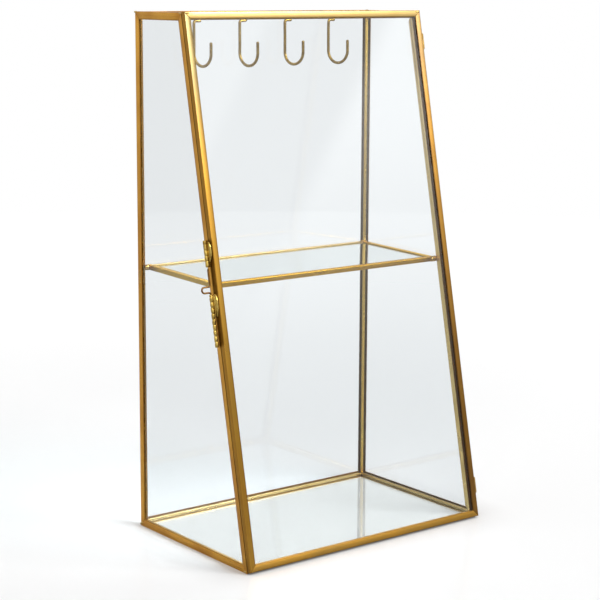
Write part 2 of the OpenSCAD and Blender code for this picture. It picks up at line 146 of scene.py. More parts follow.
# %% A finish that writes its own nodes
class Finish:
    """One material, written node by node. Given a tree, it writes there instead."""

    def __init__(self, name, tree=None):
        if tree is None:
            self.material = bpy.data.materials.new(name)
            self.material.use_nodes = True
            tree = self.material.node_tree
        self.tree = tree
        self.tree.nodes.clear()

    def put(self, socket, value):
        if isinstance(value, Value):
            self.tree.links.new(value.socket, socket)
        else:
            socket.default_value = value

    def node(self, kind, settings=None, values=None):
        """Adds a node and returns a function that gives its outputs by name or number."""
        made = self.tree.nodes.new(kind)
        for key, setting in (settings or {}).items():
            setattr(made, key, setting)
        for key, value in (values or {}).items():
            self.put(made.inputs[key], value)
        return lambda key=0: Value(self, made.outputs[key])

    def math(self, operation, *values):
        values = dict(enumerate(values))
        return self.node("ShaderNodeMath", {"operation": operation}, values)("Value")

    def mix(self, share, first, second):
        """Mixes two colours. Given as numbers they are red, green and blue."""
        first, second = ((*c, 1) if isinstance(c, tuple) else c for c in (first, second))
        values = {0: share, 6: first, 7: second}
        return self.node("ShaderNodeMix", {"data_type": "RGBA"}, values)(2)

    def parts(self, vector):
        """A function that gives a vector's X, Y and Z."""
        return self.node("ShaderNodeSeparateXYZ", None, {0: vector})

    def coordinates(self, kind):
        return self.node("ShaderNodeTexCoord")(kind)

    def place(self, scale=(1, 1, 1), move=(0, 0, 0), uv=None):
        """Where a point is on the piece, stretched: its Object coordinates or a UV map."""
        if uv:
            start = self.node("ShaderNodeUVMap", {"uv_map": uv})("UV")
        else:
            start = self.coordinates("Object")
        values = {"Vector": start, "Scale": scale, "Location": move}
        return self.node("ShaderNodeMapping", None, values)("Vector")

    def noise(self, place, scale, detail=3.0, rough=0.5, distort=0.0):
        values = {"Vector": place, "Scale": scale, "Detail": detail, "Roughness": rough}
        values["Distortion"] = distort
        return self.node("ShaderNodeTexNoise", None, values)("Fac")

    def bump(self, height, distance, strength):
        values = {"Height": height, "Distance": distance, "Strength": strength}
        return self.node("ShaderNodeBump", None, values)("Normal")

    def principled(self, values):
        return self.node("ShaderNodeBsdfPrincipled", None, values)("BSDF")

    def done(self, shader):
        self.node("ShaderNodeOutputMaterial", None, {"Surface": shader})
        return self.material


print("ready:", Finish.__doc__)

# %% [markdown]
# ## The room
# Glass and polished brass show the room around them more than their own colour, so the room
# matters as much as the material. This one is a white studio, and sight through glass meets plain
# white. Light for the shadows comes from the sky at a lower level. What brass mirrors is dimmer
# low down, most of all in front, where the onlooker stands in the way. A soft box hangs above
# that, so the door's brass runs from a bright top to a deep gold foot. Two white cards lean
# beside it, and their slanting edges show softly in the glass.

# %% Light the room
WHITE = (1, 1, 1, 1)
SKY_LIGHT, LOW_DIM, FRONT_DIM = 0.5, 0.42, 0.25
CARD, SECOND_CARD, CARD_LEAN, CARD_ACROSS = 1.1, 0.5, 0.83, math.radians(40)
CARD_EDGE, SECOND_EDGE = 0.186, 0.267


def seen_directly(finish):
    """1 for rays of sight, straight, mirrored or through glass, and 0 for rays that carry light."""
    path = finish.node("ShaderNodeLightPath")
    return path("Is Camera Ray").high(path("Is Glossy Ray")).high(path("Is Transmission Ray"))


def mirrored_only(finish):
    """1 for rays that were mirrored on their way, whether or not they met glass after that."""
    return finish.node("ShaderNodeLightPath")("Glossy Depth").low(1.0)


world = bpy.data.worlds.new("studio")
bpy.context.scene.world = world
world.use_nodes = True
sky = Finish("sky", world.node_tree)
toward = sky.parts(sky.coordinates("Generated"))
in_front = (0 - toward("Y")).ramp(0.1, 0.6)
low_down = 1 - toward("Z").ramp(-0.05, 0.24)
dimming = low_down * (LOW_DIM + in_front * FRONT_DIM)
across = toward("X") * math.cos(CARD_ACROSS) + toward("Y") * math.sin(CARD_ACROSS)
slant = across - toward("Z") * CARD_LEAN
cards = (slant + CARD_EDGE).ramp(-0.010, 0.012)
cards = cards + (0 - slant - SECOND_EDGE).ramp(-0.008, 0.008) * SECOND_CARD
cards = cards * in_front * toward("Z").ramp(0.10, 0.25) * (1 - across.ramp(0.06, 0.3)) * CARD
mirrored = mirrored_only(sky)
strength = seen_directly(sky) * (1 - SKY_LIGHT) + SKY_LIGHT
strength = strength * (1 - mirrored * dimming) + mirrored * cards
background = sky.node("ShaderNodeBackground", None, {"Color": WHITE, "Strength": strength})
sky.node("ShaderNodeOutputWorld", None, {"Surface": background("Background")})
print("nodes in the sky:", len(sky.tree.nodes))

# %% [markdown]
# The lamps are two soft boxes: a large one high at the right, and a narrow one that keeps the
# left side from going dull.

# %% Hang the soft boxes
LAMP_AIM, LAMP_DISTANCE = Vector((0, -0.06, 0.17)), 3.0


def soft_box(name, width, height, radiance, heading, rise):
    """A rectangular lamp that faces the box. Heading is counted from the front to the right."""
    lamp = bpy.data.lights.new(name, "AREA")
    lamp.shape, lamp.size, lamp.size_y = "RECTANGLE", width, height
    lamp.energy = radiance * math.pi * width * height
    heading, rise = math.radians(heading), math.radians(rise)
    flat = math.cos(rise)
    away = Vector((math.sin(heading) * flat, -math.cos(heading) * flat, math.sin(rise)))
    box = bpy.data.objects.new(name, lamp)
    box.location = LAMP_AIM + away * LAMP_DISTANCE
    box.rotation_euler = (-away).to_track_quat("-Z", "Y").to_euler()
    bpy.context.scene.collection.objects.link(box)


soft_box("front_box", 1.5, 1.4, 13.5, 32, 37)
soft_box("left_box", 0.7, 1.6, 3.0, -50, 38)
print("lamps:", sorted(lamp.name for lamp in bpy.data.lights))

# %% [markdown]
# The floor is a plain white sheet with the faintest sheen. Its own shade carries the box's soft
# shadow, and a glow for the rays of sight lifts the rest of it to the white of the room. Both are
# darkened where the box is close, by an ambient occlusion node and the box's outline: a painted
# contact shadow that grounds it. Far from the box there is only the glow, so the floor's rim can't
# be told from the room.

# %% Lay the floor
FLOOR_SHADE, FLOOR_SHEEN, FLOOR_SIZE, FLOOR_SIDES = 0.65, 0.05, 1.6, 72
FLOOR_GLOW, GLOW_RISE, LEAST_GLOW = 0.195, 0.195, 0.1
CONTACT_SHADOW_DEPTH, TOUCH_REACH, TOUCH_UNDER = 0.42, 0.035, 0.7

paper = Finish("white_floor")
spot = paper.parts(paper.coordinates("Object"))
far = paper.math("SQRT", spot("X") * spot("X") + spot("Y") * spot("Y")).ramp(0.25, 1.0)
dimming = mirrored_only(paper) * (LOW_DIM + (0 - spot("Y")).ramp(0.2, 1.2) * FRONT_DIM)
glow = (spot("Y") * GLOW_RISE + FLOOR_GLOW).high(LEAST_GLOW) * (1 - far) + far
# Painted contact shadow: occlusion darkens the floor's shade and glow near the box, less under it.
settings, values = {"samples": 6}, {"Distance": TOUCH_REACH}
touched = 1 - paper.node("ShaderNodeAmbientOcclusion", settings, values)("AO")
half_d = BASE_D / 2 * MM
beside = (spot("Y") + half_d).math("ABSOLUTE") - half_d
beside = (spot("X").math("ABSOLUTE") - HALF_W * MM).high(beside)
contact = beside.ramp(-0.004, 0.0) * (1 - TOUCH_UNDER) + TOUCH_UNDER
contact_shadow_factor = 1 - touched * contact * CONTACT_SHADOW_DEPTH
shade = paper.mix(1 - (1 - dimming) * (1 - far) * contact_shadow_factor, (FLOOR_SHADE,) * 3, (0.0, 0.0, 0.0))
shade = paper.node("ShaderNodeBsdfDiffuse", None, {"Color": shade})
strength = seen_directly(paper) * glow * (1 - dimming) * contact_shadow_factor
glow = paper.node("ShaderNodeEmission", None, {"Strength": strength})
both = paper.node("ShaderNodeAddShader", None, {0: shade("BSDF"), 1: glow("Emission")})
values = {"Color": (*(FLOOR_SHEEN,) * 3, 1), "Roughness": 0.16}
sheen = paper.node("ShaderNodeBsdfGlossy", None, values)
both = paper.node("ShaderNodeAddShader", None, {0: both("Shader"), 1: sheen("BSDF")})

turns = [2 * math.pi * n / FLOOR_SIDES for n in range(FLOOR_SIDES)]
rim = [(FLOOR_SIZE * math.cos(a), FLOOR_SIZE * math.sin(a), 0) for a in turns]
floor_mesh = bpy.data.meshes.new("floor")
floor_mesh.from_pydata(rim, [], [range(FLOOR_SIDES)])
floor_mesh.materials.append(paper.done(both("Shader")))
floor = bpy.data.objects.new("floor", floor_mesh)
bpy.context.scene.collection.objects.link(floor)
print("floor across in m:", 2 * FLOOR_SIZE)

# %% [markdown]
# ## Brass that has aged
# Sheet brass leaves the rolls with fine lines along its length. Handling polishes the folded
# edges, while the flats and the corners near the solder tarnish to brown. Faces that lie in
# shade, against glass, inside the case or behind the door, get a painted shade, and so does a band
# along the cut edge; the door's outer sides get a painted light. The strips carry three UV maps for
# this: `strip` runs along and across a piece in metres, `edges` holds the distance to its far end
# and to its fold, and `side` holds a face's painted shade, or -1 for the painted light on the
# door's outer sides, and its distance to the cut edge. So one finish fits every strip, whichever
# way it runs.

# %% Write the strip finish
F82_TINT = (0.85, 0.66, 0.42, 1)
GRAIN, STREAKS = (40, 6000, 1), (14, 1500, 1)
PATCHES, LOTS, SPECKS = 34, 4, 1100
END_BAND, FOLD_BAND, CUT_SHADE_BAND = 8 * MM, 1.1 * MM, (0.1 * MM, 0.9 * MM)
LATCH_SHADE_BAND, LATCH_SHADE_FADE = (0.3 * MM, 1.5 * MM), 4 * MM
HIDDEN_SHADE = 0.62


def aged_brass(name, tones, rough=0.27, tarnish=0.5, coat=0.6, latch_shadow=None, head=None,
               reach=(0.020, 0.085), side_light=None):
    """Rolled brass sheet in a bright, a brown and a dark tone. Tarnish is how much of it is brown.
    A painted shadow of the latch darkens the seam along the stretch given for it. A darker tone is
    painted as shade near the far end, as far as reach says, and a brighter one as light on the
    outer side."""
    f = Finish(name)
    bright, mid, dark = tones
    grain = f.noise(f.place(GRAIN, uv="strip"), 1.0, 2.0)
    streaks = f.noise(f.place(STREAKS, (3, 1, 0), uv="strip"), 1.0, 3.0)
    patches = f.noise(f.place(), PATCHES, 3.0, 0.55, 0.3)
    lots = f.noise(f.place(), LOTS, 1.0)
    specks = f.noise(f.place(), SPECKS, 2.0)
    strip, edges, side = (f.parts(f.place(uv=key)) for key in ("strip", "edges", "side"))
    near_end = 1 - strip("X").low(edges("X")).ramp(0.0, END_BAND)
    near_fold = 1 - edges("Y").ramp(0.0, FOLD_BAND)
    # Painted shade along the cut edge: the band there is browner and darker.
    cut_edge_shade = 1 - side("Y").ramp(*CUT_SHADE_BAND)
    # Painted shade of each face, read from the side map.
    painted_shade = side("X").high(0.0)
    # Painted shadow of the latch: the seam beside it is darkened along its stretch.
    if latch_shadow:
        start, end = latch_shadow
        latch_shade = strip("X").ramp(start, start + LATCH_SHADE_FADE)
        latch_shade = latch_shade * (1 - strip("X").ramp(end - LATCH_SHADE_FADE, end))
        seam = painted_shade.ramp(0.3, 0.5).high(1 - edges("Y").ramp(*LATCH_SHADE_BAND))
        painted_shade = painted_shade.high((latch_shade * seam * (0.35 + patches)).low(1.0))
    age = (patches - 0.5) * 2.0 + (streaks - 0.5) * 1.7 + (lots - 0.5) * 1.0 + near_end * 0.4
    age = age + cut_edge_shade * 0.35 - near_fold * 0.45 + tarnish
    brown = age.ramp(0.0, 1.1)
    colour = f.mix(brown, bright, mid)
    # Painted shade: a darker tone near the strip's far end, as far as reach says.
    if head:
        colour = f.mix(1 - (edges("X") + (patches - 0.5) * 0.02).ramp(*reach), colour, head)
    # Painted light: the door's outer side face takes a brighter tone.
    if side_light:
        colour = f.mix((0 - side("X")).high(0.0), colour, side_light)
    lined = (grain - 0.35).ramp(0.0, 0.5)
    in_lines = (brown * 0.45 + painted_shade * 0.4) * lined
    colour = f.mix((in_lines + cut_edge_shade * 0.5).low(1.0), colour, dark)
    pits = specks.ramp(0.70, 0.82) * (0.3 + brown * 0.7)
    colour = f.mix(pits * 0.45, colour, dark)
    # Painted shade: faces that lie in shade take a darker dark tone.
    colour = f.mix(painted_shade, colour, tuple(HIDDEN_SHADE * part for part in dark))
    roughness = rough + brown * 0.08 + (grain - 0.5) * 0.14 + pits * 0.15 + painted_shade * 0.15
    relief = grain * 0.5 + streaks * 0.6 + patches * 0.9 - pits * 0.4
    return f.done(f.principled({
        "Base Color": colour, "Metallic": 1.0, "Roughness": roughness,
        "Normal": f.bump(relief, 0.00010, 0.5), "Specular Tint": F82_TINT,
        "Coat Weight": (1 - painted_shade) * coat, "Coat Roughness": 0.28,
    }))


print("tint of every strip at a grazing angle:", F82_TINT[:3])

# %% [markdown]
# The strips' finishes differ, and much of that is painted light. The door's brass is a shaded
# copy of the case's, for its front under the big soft box; its top rail is paler as a painted
# highlight, and its foot and right stile darker as painted shade. The bars inside the glass are
# pale, and the base's bars are a lit copy, paler still. A table holds the three tones of each
# finish and what is special about it, and a second one says which strips don't wear the usual
# finish of their kind.

# %% Mix the brass of the strips
CASE_TONES = (0.80, 0.41, 0.050), (0.58, 0.245, 0.016), (0.23, 0.090, 0.007)
DOOR_TONES = (0.42, 0.218, 0.019), (0.365, 0.176, 0.010), (0.15, 0.062, 0.004)
STRIP_TONES = {
    "case_brass": (CASE_TONES, {}),
    # Painted highlight: the door's top rail is paler and whiter.
    "head_brass": (
        ((0.66, 0.45, 0.15), (0.52, 0.33, 0.080), (0.20, 0.09, 0.010)),
        {"rough": 0.30, "tarnish": 0.4}),
    # Painted shade: the door's foot is darker.
    "foot_brass": (
        ((0.31, 0.17, 0.024), (0.38, 0.19, 0.014), (0.13, 0.055, 0.003)),
        {"rough": 0.30, "tarnish": 0.4, "coat": 0.4}),
    "slope_brass": (CASE_TONES, {"latch_shadow": (0.143, 0.215)}),
    # A shaded copy of the case's brass, for the door's front under the soft box.
    "door_brass": (DOOR_TONES, {"rough": 0.30, "tarnish": 0.4, "coat": 0.45}),
    "latch_side_brass": (
        DOOR_TONES,
        {"rough": 0.30, "tarnish": 0.4, "coat": 0.45, "latch_shadow": (0.143, 0.214),
         "head": (0.165, 0.120, 0.038), "reach": (0.035, 0.110), "side_light": (0.70, 0.345, 0.020)}),
    # Painted shade: the door's right stile is darker, and darker still near its far end.
    "shaded_stile_brass": (
        ((0.27, 0.135, 0.012), (0.19, 0.085, 0.006), (0.09, 0.036, 0.004)),
        {"rough": 0.32, "coat": 0.45, "head": (0.150, 0.084, 0.016)}),
    "bar_brass": (
        ((0.93, 0.75, 0.33), (0.82, 0.60, 0.20), (0.36, 0.22, 0.05)),
        {"rough": 0.25, "tarnish": 0.35}),
    "post_brass": (
        ((1.0, 0.76, 0.20), (0.96, 0.62, 0.11), (0.38, 0.19, 0.03)),
        {"rough": 0.25, "tarnish": 0.35, "coat": 0.3}),
    "pale_brass": (
        ((0.76, 0.57, 0.22), (0.66, 0.46, 0.13), (0.28, 0.16, 0.03)),
        {"tarnish": 0.4, "coat": 0.3}),
    # A lit copy of the bar brass, for the base's bars.
    "base_bar_brass": (
        ((0.95, 0.78, 0.37), (0.90, 0.69, 0.26), (0.42, 0.27, 0.07)),
        {"tarnish": 0.4, "coat": 0.3}),
    "shelf_brass": (
        ((1.0, 0.70, 0.085), (0.90, 0.56, 0.050), (0.34, 0.18, 0.015)),
        {"rough": 0.25, "tarnish": 0.4, "coat": 0.2}),
    "rim_brass": (
        ((0.84, 0.49, 0.022), (0.64, 0.345, 0.006), (0.24, 0.12, 0.003)), {"coat": 0.0}),
}
STRIP_BRASS = {
    name: aged_brass(name, tones, **settings) for name, (tones, settings) in STRIP_TONES.items()
}
BRASS_OF = {
    "door_right_stile": "shaded_stile_brass", "door_left_stile": "latch_side_brass",
    "door_top_rail": "head_brass", "door_bottom_rail": "foot_brass", "left_slope": "slope_brass",
    "shelf_front_strip": "rim_brass", "shelf_back_strip": "bar_brass",
    "back_left_bar": "post_brass", "back_right_bar": "post_brass", "left_slope_bar": "post_brass",
    "right_slope_bar": "pale_brass", "base_back_bar": "base_bar_brass",
    "base_left_bar": "base_bar_brass",
}
print("strip finishes:", list(STRIP_BRASS))

# %% [markdown]
# Wire, fittings and solder don't have a grain along a strip. Drawn wire is scored along its
# length, so its finish reads `drawn`, the wire's surface as if it were pulled straight. The hinges
# and the latch are older cast and pressed brass. Every small part is painted darker in its hollows
# as shade. Solder cools to a skin with soft ripples, and wipes of patina turn it nearly to the
# colour of the brass.

# %% Write the finishes of the small parts
WIRE_RELIEF = 0.00004


def small_metal(name, tones, rough, size, drawn=False, relief=0.00012):
    """Metal of small parts in three tones. Size is how many marks go into a metre."""
    f = Finish(name)
    bright, mid, dark = tones
    if drawn:
        straight = f.node("ShaderNodeAttribute", {"attribute_name": "drawn"})("Vector")
        values = {"Vector": straight, "Scale": (0.06, 1, 1)}
        place = f.node("ShaderNodeMapping", None, values)("Vector")
    else:
        place = f.place()
    marks = f.noise(place, size, 3.0, 0.6)
    clouds = f.noise(f.place(), size * 0.16, 3.0, 0.6, 0.5)
    pits = f.noise(f.place(), size * 1.9, 2.0).ramp(0.62, 0.8)
    # Painted shade: hollows, found by the surface's pointiness, go darker.
    hollow_shade = f.node("ShaderNodeNewGeometry")("Pointiness").ramp(0.5, 0.42)
    brown = ((clouds - 0.5) * 1.8 + (marks - 0.5) * 0.9 + 0.5).ramp(0.0, 1.0)
    colour = f.mix(brown, bright, mid)
    colour = f.mix((hollow_shade * 0.7 + pits * 0.6 + brown * 0.15).low(1.0), colour, dark)
    roughness = rough + brown * 0.1 + pits * 0.15 + (marks - 0.5) * 0.12
    normal = f.bump(marks * 0.7 + clouds - pits * 0.4, relief, 0.6)
    values = {"Base Color": colour, "Metallic": 1.0, "Roughness": roughness, "Normal": normal}
    return f.done(f.principled(values))


fitting_brass = small_metal(
    "fitting_brass", ((0.66, 0.47, 0.12), (0.32, 0.185, 0.035), (0.07, 0.032, 0.005)), 0.22, 700)
hook_wire = small_metal(
    "hook_wire", ((0.42, 0.275, 0.055), (0.28, 0.165, 0.022), (0.12, 0.065, 0.009)),
    0.33, 2600, True, WIRE_RELIEF)
bolt_wire = small_metal(
    "bolt_wire", ((0.27, 0.145, 0.050), (0.16, 0.075, 0.020), (0.07, 0.030, 0.007)),
    0.28, 2600, True, WIRE_RELIEF)
solder_skin = small_metal(
    "solder_skin", ((0.66, 0.48, 0.17), (0.44, 0.28, 0.08), (0.20, 0.11, 0.02)), 0.27, 500)
hinge_brass = small_metal(
    "hinge_brass", ((0.56, 0.36, 0.09), (0.34, 0.19, 0.035), (0.10, 0.05, 0.008)), 0.30, 800)
small_finishes = fitting_brass, hook_wire, bolt_wire, solder_skin, hinge_brass
print("small finishes:", [finish.name for finish in small_finishes])

# %% [markdown]
# ## Clear glass
# Window glass is clear, but a pane is faintly green and takes away a little light. It is a real
# slab here, so it bends what is behind it and mirrors the room. Light on its way to a surface
# would stop at it and leave a dark shadow, so for those rays a plain see-through shader takes its
# place. The shelf is the greenest pane. The base is the clearest: a lighter copy of the glass, as
# painted light that makes up for the painted contact shadow on the floor under it.

# %% Write the glass
SHINE, INDEX, SMEARED = 0.22, 1.5, 0.035
PANE_TINT, SHELF_TINT = (0.932, 0.950, 0.958, 1), (0.87, 0.92, 0.91, 1)
# The base's tint is lifted as painted light over the floor's painted contact shadow.
BASE_TINT = (0.968, 0.978, 0.968, 1)


def clear_glass(name, tint):
    """Clear glass of a tint, faintly smeared."""
    f = Finish(name)
    smears = f.noise(f.place(), 14, 4.0, 0.6, 0.8).ramp(0.45, 0.85)
    glass = f.principled({
        "Base Color": tint, "Roughness": smears * SMEARED, "IOR": INDEX,
        "Specular IOR Level": SHINE, "Transmission Weight": 1.0,
    })
    passing = f.node("ShaderNodeBsdfTransparent", None, {"Color": tint})("BSDF")
    shadow = f.node("ShaderNodeLightPath")("Is Shadow Ray")
    return f.done(f.node("ShaderNodeMixShader", None, {0: shadow, 1: glass, 2: passing})("Shader"))


pane_glass = clear_glass("pane_glass", PANE_TINT)
thick_glass = {
    "shelf_glass": clear_glass("shelf_glass_clear", SHELF_TINT),
    "base_glass": clear_glass("base_glass_clear", BASE_TINT),
}
panes = [name for name in NODES if SLOT_OF[name] == "glass"]
for name in panes:
    NODES[name].data.materials.clear()
    NODES[name].data.materials.append(thick_glass.get(name, pane_glass))
print("panes:", panes)

# %% [markdown]
# ## Folded strips
# A real strip is never sharp: sheet folds over a small radius, and its cut edges are filed. So
# each strip of the solid model is copied, its loose triangles are joined back into flat faces,
# and its edges are rounded. A fold is an edge between two wide faces and gets the larger radius.

# %% Find the folds of a strip
FOLD_R, SHELF_FOLD_R, BAR_R, FILED_R = 0.50 * MM, 0.3 * MM, 0.30 * MM, 0.13 * MM
WIDE = 1.0 * MM


def flat_copy(node):
    """The node's mesh with its triangles merged into flat faces."""
    mesh = bmesh.new()
    mesh.from_mesh(NODES[node].data)
    bmesh.ops.remove_doubles(mesh, verts=mesh.verts, dist=1e-6)
    flat = math.radians(0.5)
    bmesh.ops.dissolve_limit(mesh, angle_limit=flat, verts=mesh.verts, edges=mesh.edges)
    return mesh


def run_of(mesh):
    """The unit vector along a long piece."""
    places = np.array([v.co for v in mesh.verts])
    return Vector(np.linalg.svd(places - places.mean(0))[2][0]).normalized()


def leaning(edge, run):
    """1 for an edge that lies along the run, and 0 for one across it."""
    a, b = (v.co for v in edge.verts)
    return abs((b - a).normalized().dot(run))


def wide(face, run):
    """How wide a face is across the run."""
    across = face.normal.cross(run)
    spread = [v.co.dot(across) for v in face.verts]
    return max(spread) - min(spread)


def folds_of(mesh, run):
    """The edges along the run that lie outside, between two wide faces."""
    outside = [edge for edge in mesh.edges if len(edge.link_faces) == 2 and edge.is_convex
               and leaning(edge, run) > 0.999]
    return [edge for edge in outside if min(wide(face, run) for face in edge.link_faces) > WIDE]


strips = [name for name in NODES if SLOT_OF[name] == "brass"]
bars = [name for name in NODES if SLOT_OF[name] == "inner_brass"]
print("strips:", len(strips), "bars:", len(bars))

# %% [markdown]
# The finish has to know where it is on a strip: how far from the ends, the fold and the cut edge,
# and how much painted shade the face gets where glass or a strip hides it. So each strip's faces
# are measured once, and the results are written into its UV maps.

# %% Measure the faces of a strip
CASE_MIDDLE = Vector((0, -0.05, 0.17))
# Painted shade on the small faces at a strip's cut ends.
CUT_END_SHADE = 0.9


def shade_of_face(normal, place, node):
    """How much painted shade a face of this strip gets: 0 where none, 1 where glass or a strip
    covers it and shade falls, and -1 on the outer sides of the door, which get painted light
    instead."""
    inward = normal.dot(CASE_MIDDLE - place)
    if SLOT_OF[node] == "inner_brass":
        if node == "back_left_bar":
            return 1.0 if normal.y < -0.7 else 0.1
        return 0.8 if inward < 0 and not node.startswith("base") else 0.0
    # The door's back faces get painted shade, and its outer sides painted light (-1).
    if BODY_OF[node] == "door":
        if normal.y > 0.5:
            return 1.0
        return -1.0 if abs(normal.x) > 0.9 and inward < 0 else 0.1 * (inward > 0)
    if node.startswith("shelf"):
        return 0.1
    if inward > 0 and node.startswith("base"):
        return 0.35
    return 0.95 if inward > 0 else 0.45 if normal.y < -0.9 else 0.0


def off_line(point, start, end):
    """How far a point is from the line between two others."""
    share = (point - start).dot(end - start) / (end - start).length_squared
    return (start.lerp(end, min(max(share, 0), 1)) - point).length


def off_run(point, start, run):
    """How far a point is from the endless line through start along the run."""
    return ((point - start) - run * (point - start).dot(run)).length


def map_strip(mesh, run, folds, ends, node):
    """Writes the UV maps: along and across, far end and fold, painted shade of the face and cut
    edge.
    """
    normal = run.orthogonal().normalized()
    across = normal + run.cross(normal)
    far = max(v.co.dot(run) for v in mesh.verts)
    near = min(v.co.dot(run) for v in mesh.verts)
    strip, edges, side = (mesh.loops.layers.uv.new(name) for name in ("strip", "edges", "side"))
    for face in mesh.faces:
        face.normal_update()
        centre = face.calc_center_median()
        painted_shade = shade_of_face(face.normal, centre, node)
        if any(off_line(centre, *end) < FILED_R for end in ends):
            painted_shade = CUT_END_SHADE
        off_folds = [[off_run(v.co, start, run) for start in folds] for v in face.verts]
        gaps = [min(offs, default=0.0) for offs in off_folds]
        widest = max(gaps, default=0.0)
        for loop, gap in zip(face.loops, gaps):
            place = loop.vert.co
            loop[strip].uv = (place.dot(run) - near, place.dot(across))
            loop[edges].uv = (far - place.dot(run), gap)
            loop[side].uv = (painted_shade, widest - gap if widest > WIDE else 0.0)


print("middle of the case in mm:", [round(part / MM) for part in CASE_MIDDLE])

# %% [markdown]
# Every piece ends the same way: its mesh becomes an object, and the object takes the node's place
# on the same body, so it follows the door or the bolt when they move.

# %% Put a piece in a node's place
SMOOTH_UNDER = 40


def new_piece(name, mesh, finish, smooth=SMOOTH_UNDER):
    """Turns a bmesh into an object with one material, smooth across edges under the angle."""
    data = bpy.data.meshes.new(name)
    mesh.to_mesh(data)
    mesh.free()
    data.materials.append(finish)
    data.shade_smooth()
    piece = bpy.data.objects.new(name, data)
    bpy.context.scene.collection.objects.link(piece)
    data.set_sharp_from_angle(angle=math.radians(smooth))
    return piece


def evaluated_mesh(piece):
    """The plain mesh that the piece's modifiers make of it. The modifiers are removed."""
    graph = bpy.context.evaluated_depsgraph_get()
    mesh = bpy.data.meshes.new_from_object(piece.evaluated_get(graph))
    piece.modifiers.clear()
    return mesh


def settle(piece, node):
    """Puts the piece in the node's place: same body, and the node no longer shows."""
    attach(piece, BODY_OF[node])
    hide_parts(node)


print("ready:", settle.__doc__)

# %% [markdown]
# A Bevel modifier rounds each edge by its weight: 1 for a fold, and less for a filed edge. The UV
# maps are written after it, because it makes new faces.

# %% Fold all strips
SHARP = 0.3
BEVEL_STEPS = 3


def folded_strip(node, finish, fold_r=FOLD_R, filed_r=FILED_R):
    """The strip with its folds and cut edges rounded, in the finish."""
    mesh = flat_copy(node)
    weight = mesh.edges.layers.float.new("bevel_weight_edge")
    run = run_of(mesh)
    folds = folds_of(mesh, run)
    lines = [edge.verts[0].co.copy() for edge in folds]
    rest = [edge for edge in mesh.edges if edge not in folds and len(edge.link_faces) == 2
            and edge.calc_face_angle(0) > SHARP]
    ends = [[v.co.copy() for v in edge.verts] for edge in rest if leaning(edge, run) < 0.99]
    for edge in folds:
        edge[weight] = 1
    for edge in rest:
        edge[weight] = filed_r / fold_r
    piece = new_piece(node + "_" + finish.name, mesh, finish)
    bevel = piece.modifiers.new("rounding", "BEVEL")
    bevel.limit_method, bevel.width, bevel.segments = "WEIGHT", fold_r, BEVEL_STEPS
    bevel.use_clamp_overlap = True
    mesh = bmesh.new()
    mesh.from_mesh(evaluated_mesh(piece))
    map_strip(mesh, run, lines, ends, node)
    mesh.to_mesh(piece.data)
    mesh.free()
    piece.data.set_sharp_from_angle(angle=math.radians(SMOOTH_UNDER))
    settle(piece, node)


for name in strips:
    on_shelf, on_door = name.startswith("shelf"), BODY_OF[name] == "door"
    usual = "shelf_brass" if on_shelf else "door_brass" if on_door else "case_brass"
    finish = STRIP_BRASS[BRASS_OF.get(name, usual)]
    folded_strip(name, finish, SHELF_FOLD_R if on_shelf else FOLD_R)
for name in bars:
    folded_strip(name, STRIP_BRASS[BRASS_OF.get(name, "bar_brass")], BAR_R, BAR_R)
print("folded:", len(strips) + len(bars))

# %% [markdown]
# ## Shapes grown from rules
# A wire is a circle swept along a path, and solder is a few drops that run together. Both follow a
# rule better than a drawing, so Geometry Nodes makes them. `Rule` writes such a tree with the same
# short methods as a finish, and `grow` runs it once and keeps the plain mesh.

# %% A rule that writes its own nodes


class Rule(Finish):
    """A Geometry Nodes tree with named inputs."""

    def __init__(self, name, inputs):
        super().__init__(name, bpy.data.node_groups.new(name, "GeometryNodeTree"))
        faces = self.tree.interface
        faces.new_socket("Geometry", in_out="INPUT", socket_type="NodeSocketGeometry")
        for key, value in inputs.items():
            socket = faces.new_socket(key, in_out="INPUT", socket_type="NodeSocketFloat")
            socket.default_value = value
        faces.new_socket("Geometry", in_out="OUTPUT", socket_type="NodeSocketGeometry")
        self.group = self.tree.nodes.new("NodeGroupInput")

    def given(self, key):
        return Value(self, self.group.outputs[key])

    def vector(self, operation, *values):
        """Vector arithmetic."""
        values = dict(enumerate(values))
        return self.node("ShaderNodeVectorMath", {"operation": operation}, values)("Vector")

    def stored(self, name, kind="FLOAT"):
        """The value that the geometry holds under a name."""
        made = self.node("GeometryNodeInputNamedAttribute", {"data_type": kind}, {"Name": name})
        return made("Attribute")

    def kept(self, geometry, name, value, kind="FLOAT"):
        """The geometry with the value stored on its points under a name."""
        values = {"Geometry": geometry, "Name": name, "Value": value}
        return self.node("GeometryNodeStoreNamedAttribute", {"data_type": kind}, values)("Geometry")

    def moved(self, geometry, values):
        """The geometry with its points moved by an Offset or to a Position."""
        values = {"Geometry": geometry, **values}
        return self.node("GeometryNodeSetPosition", None, values)("Geometry")

    def done(self, geometry, finish):
        real = self.node("GeometryNodeRealizeInstances", None, {"Geometry": geometry})("Geometry")
        values = {"Geometry": real, "Material": finish}
        dressed = self.node("GeometryNodeSetMaterial", None, values)("Geometry")
        self.tree.links.new(dressed.socket, self.tree.nodes.new("NodeGroupOutput").inputs[0])
        return self.tree


